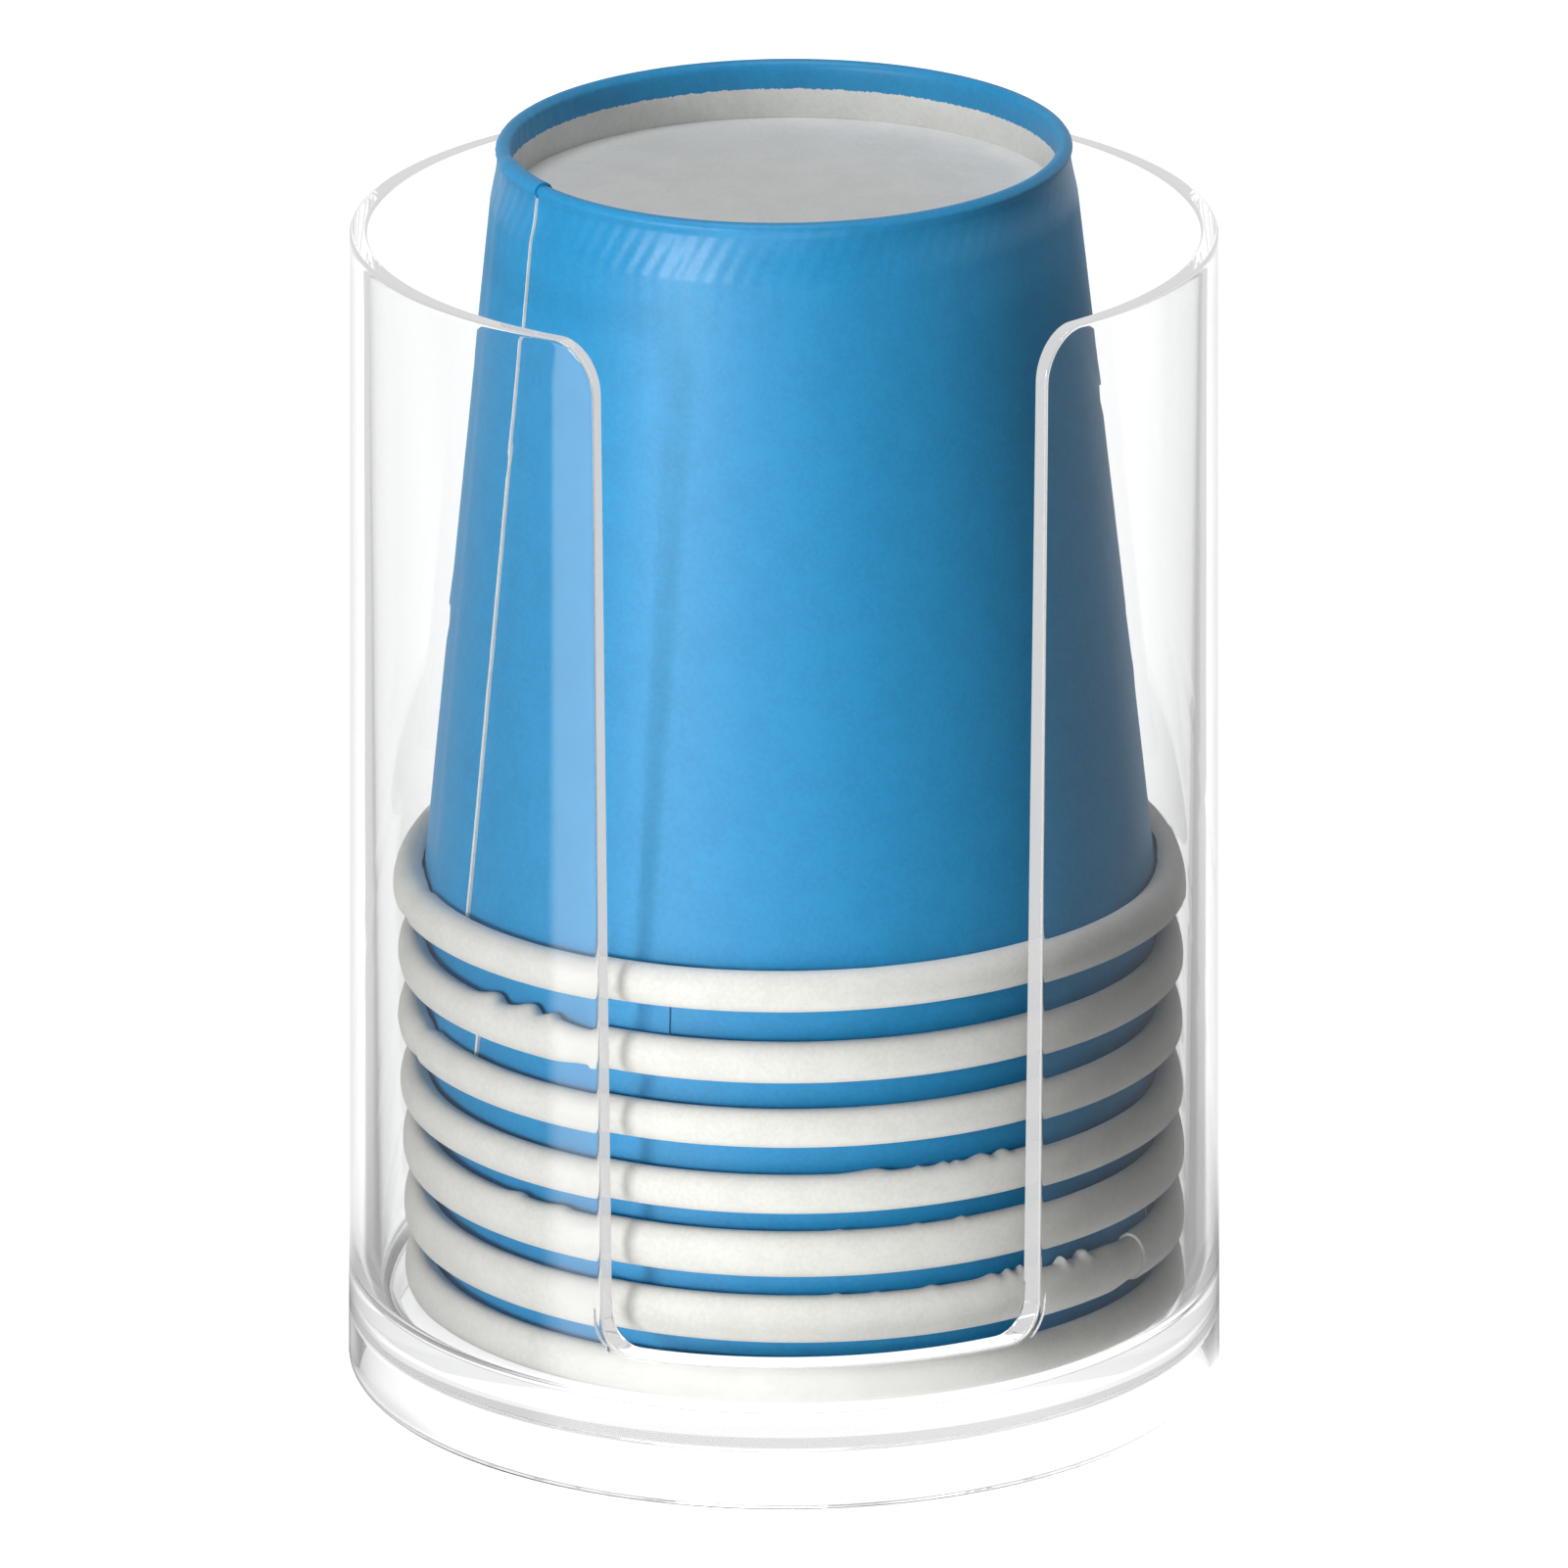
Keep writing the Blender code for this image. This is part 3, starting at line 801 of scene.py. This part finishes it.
def cup_wall_mesh(cup, body, number):
    """Side wall: one paper blank rolled into a cone, hemmed at the base, curled at the rim.

    Across, a point's azimuth runs from the inner raw edge once round to the outer raw
    edge and on over the lap, which has the same width at every height. Along, the
    middle line goes up the hem, over the fold's half circle, down the cone and round
    the curl's ellipse. The skins lie half a paper to each side of it along its normal,
    lifted by one paper where the layers lap and pressed by the crimps.
    """
    seam = math.radians(SEAM_DEGREES[number - 1])
    line = CupLine(cup, CURL_SHARES[number - 1], SPREAD_MM[number - 1] * MM)
    across = np.linspace(0.0, 1.0, CUP_COLUMNS)[:, None]
    hem_foot = cup.height - cup.recess + cup.lap_gap
    hem_z = np.linspace(hem_foot, line.fold_z, HEM_ROWS, endpoint=False)
    fold = np.radians(np.linspace(180.0, 0.0, FOLD_ROWS))
    crimp_foot = cup.height - cup.crimp_band
    cone_z = np.concatenate([
        np.linspace(line.fold_z, crimp_foot, NECK_ROWS, endpoint=False)[1:],
        np.linspace(crimp_foot, line.rim_z, CONE_ROWS, endpoint=False)])
    radius = np.concatenate([
        line.wall(hem_z) - line.spacing,
        line.fold_r - line.fold + line.fold * np.cos(fold),
        line.wall(cone_z)])
    height = np.concatenate([hem_z, line.fold_z + line.fold * np.sin(fold), cone_z])
    flat_rows = len(radius)
    curl_share = np.linspace(0.0, 1.0, CURL_ROWS)
    rows = flat_rows + len(curl_share)

    rough_radius = np.concatenate([radius, np.full(len(curl_share), line.rim_r)])[None, :]
    sweep = math.tau + cup.lap_width / rough_radius
    behind = (1.0 - across) * sweep
    azimuth = seam - behind
    wander, lift = loose_ends(cup, azimuth[:, flat_rows:], number)
    curl = math.pi + math.tau * (cup.curl_turn + wander) * curl_share
    curl_radius = line.curl_centre + line.curl_half * np.cos(curl)
    torn = ease((curl_share - TORN_START) / (1.0 - TORN_START))
    curl_z = line.rim_z + line.curl_rise * np.sin(curl) + lift * torn
    shape = (len(across), flat_rows)
    radius = np.concatenate([np.broadcast_to(radius, shape), curl_radius], 1)
    height = np.concatenate([np.broadcast_to(height, shape), curl_z], 1)

    run, climb = np.gradient(radius, axis=1), np.gradient(height, axis=1)
    size = np.hypot(run, climb)
    normal_r, normal_z = -climb / size, run / size

    ramp = (behind * rough_radius - cup.lap_width - 3 * cup.paper) / cup.lap_ramp
    lap = (cup.paper + cup.lap_gap) * (1.0 - ease(ramp))
    row = np.arange(rows)
    below_top = cup.height - height
    band = ease((cup.crimp_band - below_top) / cup.crimp_fade) * (row < flat_rows)
    on_fold = ease(below_top / cup.crimp_start)
    knurled = azimuth - math.radians(KNURL_DEGREES[number - 1])
    swell = np.clip(0.5 + 0.5 * np.cos(knurled), KNURL_LEAST, 1.0)
    swell = swell * (1.0 - KNURL_FLICKER + KNURL_FLICKER * np.sin(KNURL_WAVES * azimuth))
    slant = cup.crimp_count * azimuth - height / cup.crimp_lean
    press = -cup.crimp_depth * band * on_fold * swell * (0.5 - 0.5 * np.cos(slant))
    outside = row >= HEM_ROWS + FOLD_ROWS
    neck = np.clip((cup.crimp_band - below_top) / cup.crimp_band, 0.0, 1.0) * outside
    bulge = lap + press - cup.crimp_neck * ease(neck * 1.6) * on_fold

    def skin(side):
        off = bulge + side * cup.paper / 2
        r = radius + normal_r * off
        return in_stack(turned_grid(r, azimuth, height + normal_z * off), body, number)

    grid = np.concatenate([skin(1), skin(-1)[:, ::-1]], 1)
    columns, loop = grid.shape[:2]
    quads = lattice(columns, loop, False, True)
    outer_row = np.arange(rows - 1)
    inner_row = loop - 1 - outer_row
    cap = np.stack([outer_row, outer_row + 1, inner_row - 1, inner_row], -1)
    quads = np.concatenate([quads, cap[:, ::-1], (columns - 1) * loop + cap])
    mesh = fill_mesh(f"{body}_rolled_wall", grid.reshape(-1, 3), quads)

    stop = np.where(row < HEM_ROWS, (height - cup.height + cup.print_stop) / MM, PRINTED)
    depth = ease(below_top[-1] / cup.bare_run)
    bare = BARE_EDGE_SHARES[number - 1] * (BARE_AT_FOLD + (1.0 - BARE_AT_FOLD) * depth)
    below_fold = (below_top[-1] > cup.bare_start) & (row >= HEM_ROWS)
    stop[-1] = np.where(below_fold, -BARE_SLOPE * bare, stop[-1])
    stop[-2] = np.where(below_fold, BARE_SLOPE * (1.0 - bare), stop[-2])
    inset = np.concatenate([stop, np.full_like(stop, BARE)], 1)
    inset = inset.reshape(-1)[quads]
    first = np.arange(len(quads)) % loop
    skins = columns * loop - loop
    is_printed = np.zeros(len(quads), bool)
    is_printed[:skins] = first[:skins] < rows - 1
    inset[~is_printed] = BARE
    inset[-(rows - 1):][~below_fold[:-1]] = PRINTED
    store_values(mesh, "print_inset", "CORNER", inset)
    pressed = band * outside * on_fold
    store_values(mesh, "pressed", "POINT", np.concatenate([pressed, np.zeros_like(pressed)], 1))
    mesh.set_sharp_from_angle(angle=SHARP_EDGE)
    return mesh


def base_disc_mesh(cup, body, number):
    """Base disc: a flat board, a small corner and a skirt caught in the hem.

    The middle line goes out from the axis, round a quarter circle and up beside the
    wall; the skins lie half a board to each side of it, and a slow ripple of under a
    tenth of a millimetre keeps the flat from being perfect.
    """
    line = CupLine(cup)
    offset = (cup.paper + cup.disc_paper) / 2 + cup.seam_gap
    mid_z = cup.height - cup.recess - cup.disc_paper / 2
    corner_z = mid_z + cup.disc_corner
    corner_r = line.wall(corner_z) - offset
    bend = np.radians(np.linspace(270.0, 360.0, FOLD_ROWS))
    flat = np.linspace(0.0, corner_r - cup.disc_corner, DISC_ROWS, endpoint=False)
    radius = np.concatenate([
        flat,
        corner_r - cup.disc_corner + cup.disc_corner * np.cos(bend),
        [line.wall(line.fold_z) - offset]])
    height = np.concatenate([
        np.full(len(flat), mid_z),
        corner_z + cup.disc_corner * np.sin(bend),
        [line.fold_z]])
    run, climb = np.gradient(radius), np.gradient(height)
    size = np.hypot(run, climb)
    half = cup.disc_paper / 2
    upper = (radius - climb / size * half, height + run / size * half)
    under = (radius + climb / size * half, height - run / size * half)
    section_r = np.concatenate([upper[0], under[0][::-1]])
    section_z = np.concatenate([upper[1], under[1][::-1]])
    section_r[0] = section_r[-1] = 0.0
    turn = np.linspace(0.0, math.tau, DISC_COLUMNS, endpoint=False)[None, :]
    shape = (len(section_r), turn.shape[1])
    radius = np.broadcast_to(section_r[:, None], shape)
    height = np.broadcast_to(section_z[:, None], shape)
    share_out = radius / corner_r
    ripple = share_out ** 2 * (1.0 - share_out) * np.sin(2.0 * turn + 0.7)
    sag = np.clip(1.0 - share_out ** 2, 0.0, 1.0)
    ripple = ripple * RIPPLE_MM * MM - SAG_MM * MM * sag
    ripple = ripple * (share_out < 1.0)
    grid = turned_grid(radius, np.broadcast_to(turn, shape), height + ripple)
    mesh = turned_mesh(f"{body}_pressed_disc", in_stack(grid, body, number))
    mesh.set_sharp_from_angle(angle=SHARP_EDGE)
    return mesh


class DISPENSER_OT_moulding(bpy.types.Operator):
    """Make the clear moulded dispenser"""

    bl_idname = "cup_dispenser.moulding"
    bl_label = "Clear moulding"

    def execute(self, context):
        settings = context.scene.dispenser_settings
        *grid, edge = dispenser_grid(settings)
        mesh = turned_mesh("clear_moulding", turned_grid(*grid))
        columns = grid[0].shape[1]
        values = np.concatenate([np.repeat(edge[1:-1], columns), [edge[0], edge[-1]]])
        store_values(mesh, "edge_round", "POINT", values)
        add_piece(mesh, DISPENSER_NODE, DISPENSER_BODY,
                  clear_plastic_material(settings))
        return {"FINISHED"}


class DISPENSER_OT_cup_walls(bpy.types.Operator):
    """Make the printed side wall of every cup"""

    bl_idname = "cup_dispenser.cup_walls"
    bl_label = "Cup side walls"

    def execute(self, context):
        cup = context.scene.cup_settings
        material = printed_paper_material(cup)
        add_to_cups(cup, cup_wall_mesh, "sidewall", material)
        return {"FINISHED"}


class DISPENSER_OT_base_discs(bpy.types.Operator):
    """Make the recessed base disc of every cup"""

    bl_idname = "cup_dispenser.base_discs"
    bl_label = "Cup base discs"

    def execute(self, context):
        cup = context.scene.cup_settings
        material = plain_paper_material(cup)
        add_to_cups(cup, base_disc_mesh, "base_disc", material)
        return {"FINISHED"}


def beside_line(shader, place, start, direction, blur):
    """Nought to one across a straight line on the floor, one to its right-hand side."""
    size = math.hypot(*direction)
    normal = (direction[1] / size, -direction[0] / size)
    parts = shader.add("ShaderNodeSeparateXYZ", {0: place})
    across = shader.maths("MULTIPLY_ADD", parts.outputs[0], normal[0],
                          shader.maths("MULTIPLY", parts.outputs[1], normal[1]))
    offset = start[0] * normal[0] + start[1] * normal[1]
    return shader.span(shader.maths("SUBTRACT", across, offset), -blur, blur)


def pale_card(shader, toward, stage):
    """Brightness of the large pale card that stands on the right."""
    near = shader.add("ShaderNodeVectorMath", {0: toward, 1: CARD_AIM},
                      operation="DOT_PRODUCT")
    return shader.span(near.outputs["Value"], *CARD_TURN, 0.0, stage.room_card)


def floor_material(stage):
    """White table: plain for the camera, lit only in part for mirrors and clear walls.

    The table that the walls mirror is bright in front and to the left, and the table
    seen through them is bright behind the object and dimmer to both sides.
    """
    shader = Shader("white_table")
    place = shader.place()
    path = shader.add("ShaderNodeLightPath").outputs
    diffuse = shader.add("ShaderNodeBsdfDiffuse", {"Color": grey(stage.table_white)})
    white = shader.glow(stage.table_seen)
    seen = shader.add("ShaderNodeAddShader", {0: diffuse.outputs[0], 1: white}).outputs[0]
    in_front = shader.between(beside_line(shader, place, *MIRRORED_LEFT),
                              beside_line(shader, place, *MIRRORED_RIGHT))
    toward = shader.add("ShaderNodeVectorMath", {0: place}, operation="NORMALIZE").outputs[0]
    ahead = shader.add("ShaderNodeSeparateXYZ", {0: toward}).outputs[1]
    far_back = shader.span(ahead, *MIRRORED_TURN, stage.room_front, stage.room_back)
    mirrored = shader.glow(shader.maths("MULTIPLY_ADD", in_front, stage.table_front, far_back))
    behind = shader.between(beside_line(shader, place, *THROUGH_LEFT),
                            beside_line(shader, place, *THROUGH_RIGHT))
    through = shader.glow(shader.span(behind, 0.0, 1.0, stage.table_beside, stage.room_through))
    glow = shader.glow(shader.maths("MULTIPLY", in_front, stage.table_glow))
    dim = shader.add("ShaderNodeBsdfDiffuse", {"Color": grey(stage.table_grey)})
    surface = shader.add("ShaderNodeAddShader", {0: dim.outputs[0], 1: glow}).outputs[0]
    undiffused = shader.undiffused(path)
    steps = ((path["Is Camera Ray"], seen), (shader.polished(path), mirrored),
             (shader.straight(path), through))
    for is_ray, shown in steps:
        surface = shader.either(shader.maths("MULTIPLY", is_ray, undiffused), surface, shown)
    return shader.surface(surface)


def pale_world(stage):
    """Soft light all round; white to the camera.

    Mirrors and clear walls see a white room behind the object and a dim one in front.
    """
    world = bpy.data.worlds.new("pale_room")
    world.use_nodes = True
    shader = Shader.of_tree(world.node_tree, "ShaderNodeOutputWorld")
    path = shader.add("ShaderNodeLightPath").outputs
    toward = shader.add("ShaderNodeTexCoord").outputs["Generated"]
    parts = shader.add("ShaderNodeSeparateXYZ", {0: toward}).outputs
    ahead = parts[1]
    sideways = shader.maths("ABSOLUTE", parts[0])
    beside = shader.span(sideways, *BESIDE_TURN, 0.0, stage.room_side)
    extra = shader.maths("ADD", beside, pale_card(shader, toward, stage))
    mirrored = shader.maths("ADD", extra, shader.span(
        ahead, *MIRRORED_TURN, stage.room_front, stage.room_back))
    through = shader.span(ahead, *THROUGH_TURN, stage.room_bent, stage.room_through)
    strength = shader.add("ShaderNodeMix", {0: shader.straight(path), 2: mirrored,
                                            3: through}).outputs[0]
    room = shader.add("ShaderNodeBackground", {"Strength": strength})
    soft = shader.add("ShaderNodeBackground", {"Strength": stage.ambient})
    white = shader.add("ShaderNodeBackground", {"Color": grey(1.0), "Strength": 1.0})
    polished = shader.maths("MULTIPLY", shader.undiffused(path), shader.polished(path))
    unseen = shader.either(polished, soft.outputs[0], room.outputs[0])
    shader.surface(shader.either(path["Is Camera Ray"], unseen, white.outputs[0]))
    bpy.context.scene.world = world


def aimed(place, target):
    """Turn that points an object's -Z from a place to a target, its X level."""
    back = np.subtract(place, target)
    back = back / np.linalg.norm(back)
    right = np.cross((0.0, 0.0, 1.0), back)
    right = right / np.linalg.norm(right)
    up = np.cross(back, right)
    turn = Matrix(np.stack([right, up, back], 1).tolist()).to_4x4()
    turn.translation = place
    return turn


def polar(azimuth, elevation, distance, centre_z):
    """Point at a distance from the axis; azimuth nought is in front of the slot."""
    level = math.cos(elevation) * distance
    return (math.sin(azimuth) * level, -math.cos(azimuth) * level,
            centre_z + math.sin(elevation) * distance)


def add_lamp(name, place, target, size, watts):
    """A soft panel lamp that the camera doesn't see."""
    light = bpy.data.lights.new(name, "AREA")
    light.shape = "RECTANGLE"
    light.size, light.size_y = size
    light.energy = watts
    lamp = bpy.data.objects.new(name, light)
    lamp.matrix_world = aimed(place, target)
    lamp.visible_camera = False
    bpy.context.scene.collection.objects.link(lamp)


class DISPENSER_OT_stage(bpy.types.Operator):
    """Make the floor, the lamps and the camera"""

    bl_idname = "cup_dispenser.stage"
    bl_label = "Stage"

    def execute(self, context):
        stage = context.scene.stage_settings
        half = stage.floor_size / 2
        mesh = bpy.data.meshes.new("table")
        corners = [(-half, -half, 0), (half, -half, 0), (half, half, 0), (-half, half, 0)]
        mesh.from_pydata(corners, [], [(0, 1, 2, 3)])
        mesh.materials.append(floor_material(stage))
        table = bpy.data.objects.new("table", mesh)
        context.scene.collection.objects.link(table)
        pale_world(stage)
        middle = (0.0, 0.0, stage.aim_height)
        key_place = polar(stage.key_azimuth, stage.key_elevation, stage.key_distance,
                          stage.aim_height)
        add_lamp("key", key_place, middle, (stage.key_width, stage.key_rise),
                 stage.key_strength)
        top_place = polar(stage.key_azimuth, stage.top_elevation, stage.top_distance,
                          stage.aim_height)
        add_lamp("top", top_place, middle, (stage.top_side, stage.top_side),
                 stage.top_strength)

        camera = bpy.data.objects.new("camera", bpy.data.cameras.new("camera"))
        camera.data.lens = camera.data.sensor_width * stage.focal_share
        camera.data.clip_start = 0.01
        camera.data.clip_end = 50.0
        place = polar(stage.azimuth, stage.elevation, stage.distance, stage.aim_height)
        camera.matrix_world = aimed(place, middle)
        context.scene.collection.objects.link(camera)
        context.scene.camera = camera
        context.scene.view_settings.view_transform = "Standard"
        context.scene.cycles.max_bounces = 32
        context.scene.cycles.glossy_bounces = 20
        context.scene.cycles.transmission_bounces = 24
        return {"FINISHED"}


OPERATORS = (DISPENSER_OT_moulding, DISPENSER_OT_cup_walls, DISPENSER_OT_base_discs,
             DISPENSER_OT_stage)


class DISPENSER_PT_panel(bpy.types.Panel):
    """Lists the operators and their settings"""

    bl_idname = "DISPENSER_PT_panel"
    bl_label = "Cup dispenser"
    bl_space_type = "VIEW_3D"
    bl_region_type = "UI"
    bl_category = "Cup dispenser"

    def draw(self, context):
        scene = context.scene
        for operator in OPERATORS:
            self.layout.operator(operator.bl_idname)
        for settings in (scene.dispenser_settings, scene.cup_settings, scene.stage_settings):
            box = self.layout.box()
            for name in settings.bl_rna.properties.keys():
                if name not in ("rna_type", "name"):
                    box.prop(settings, name)


SETTINGS = {"cup_settings": CupSettings, "dispenser_settings": DispenserSettings,
            "stage_settings": StageSettings}


def register():
    """Register the classes and hang the settings on the scene."""
    for group in SETTINGS.values():
        bpy.utils.register_class(group)
    for name, group in SETTINGS.items():
        setattr(bpy.types.Scene, name, PointerProperty(type=group))
    for operator in OPERATORS:
        bpy.utils.register_class(operator)
    bpy.utils.register_class(DISPENSER_PT_panel)


def unregister():
    """Undo what register did."""
    bpy.utils.unregister_class(DISPENSER_PT_panel)
    for operator in reversed(OPERATORS):
        bpy.utils.unregister_class(operator)
    for name, group in SETTINGS.items():
        delattr(bpy.types.Scene, name)
        bpy.utils.unregister_class(group)


def main():
    """Make every piece and the stage."""
    register()
    bpy.ops.cup_dispenser.moulding()
    bpy.ops.cup_dispenser.cup_walls()
    bpy.ops.cup_dispenser.base_discs()
    bpy.ops.cup_dispenser.stage()


if __name__ == "__main__":
    main()
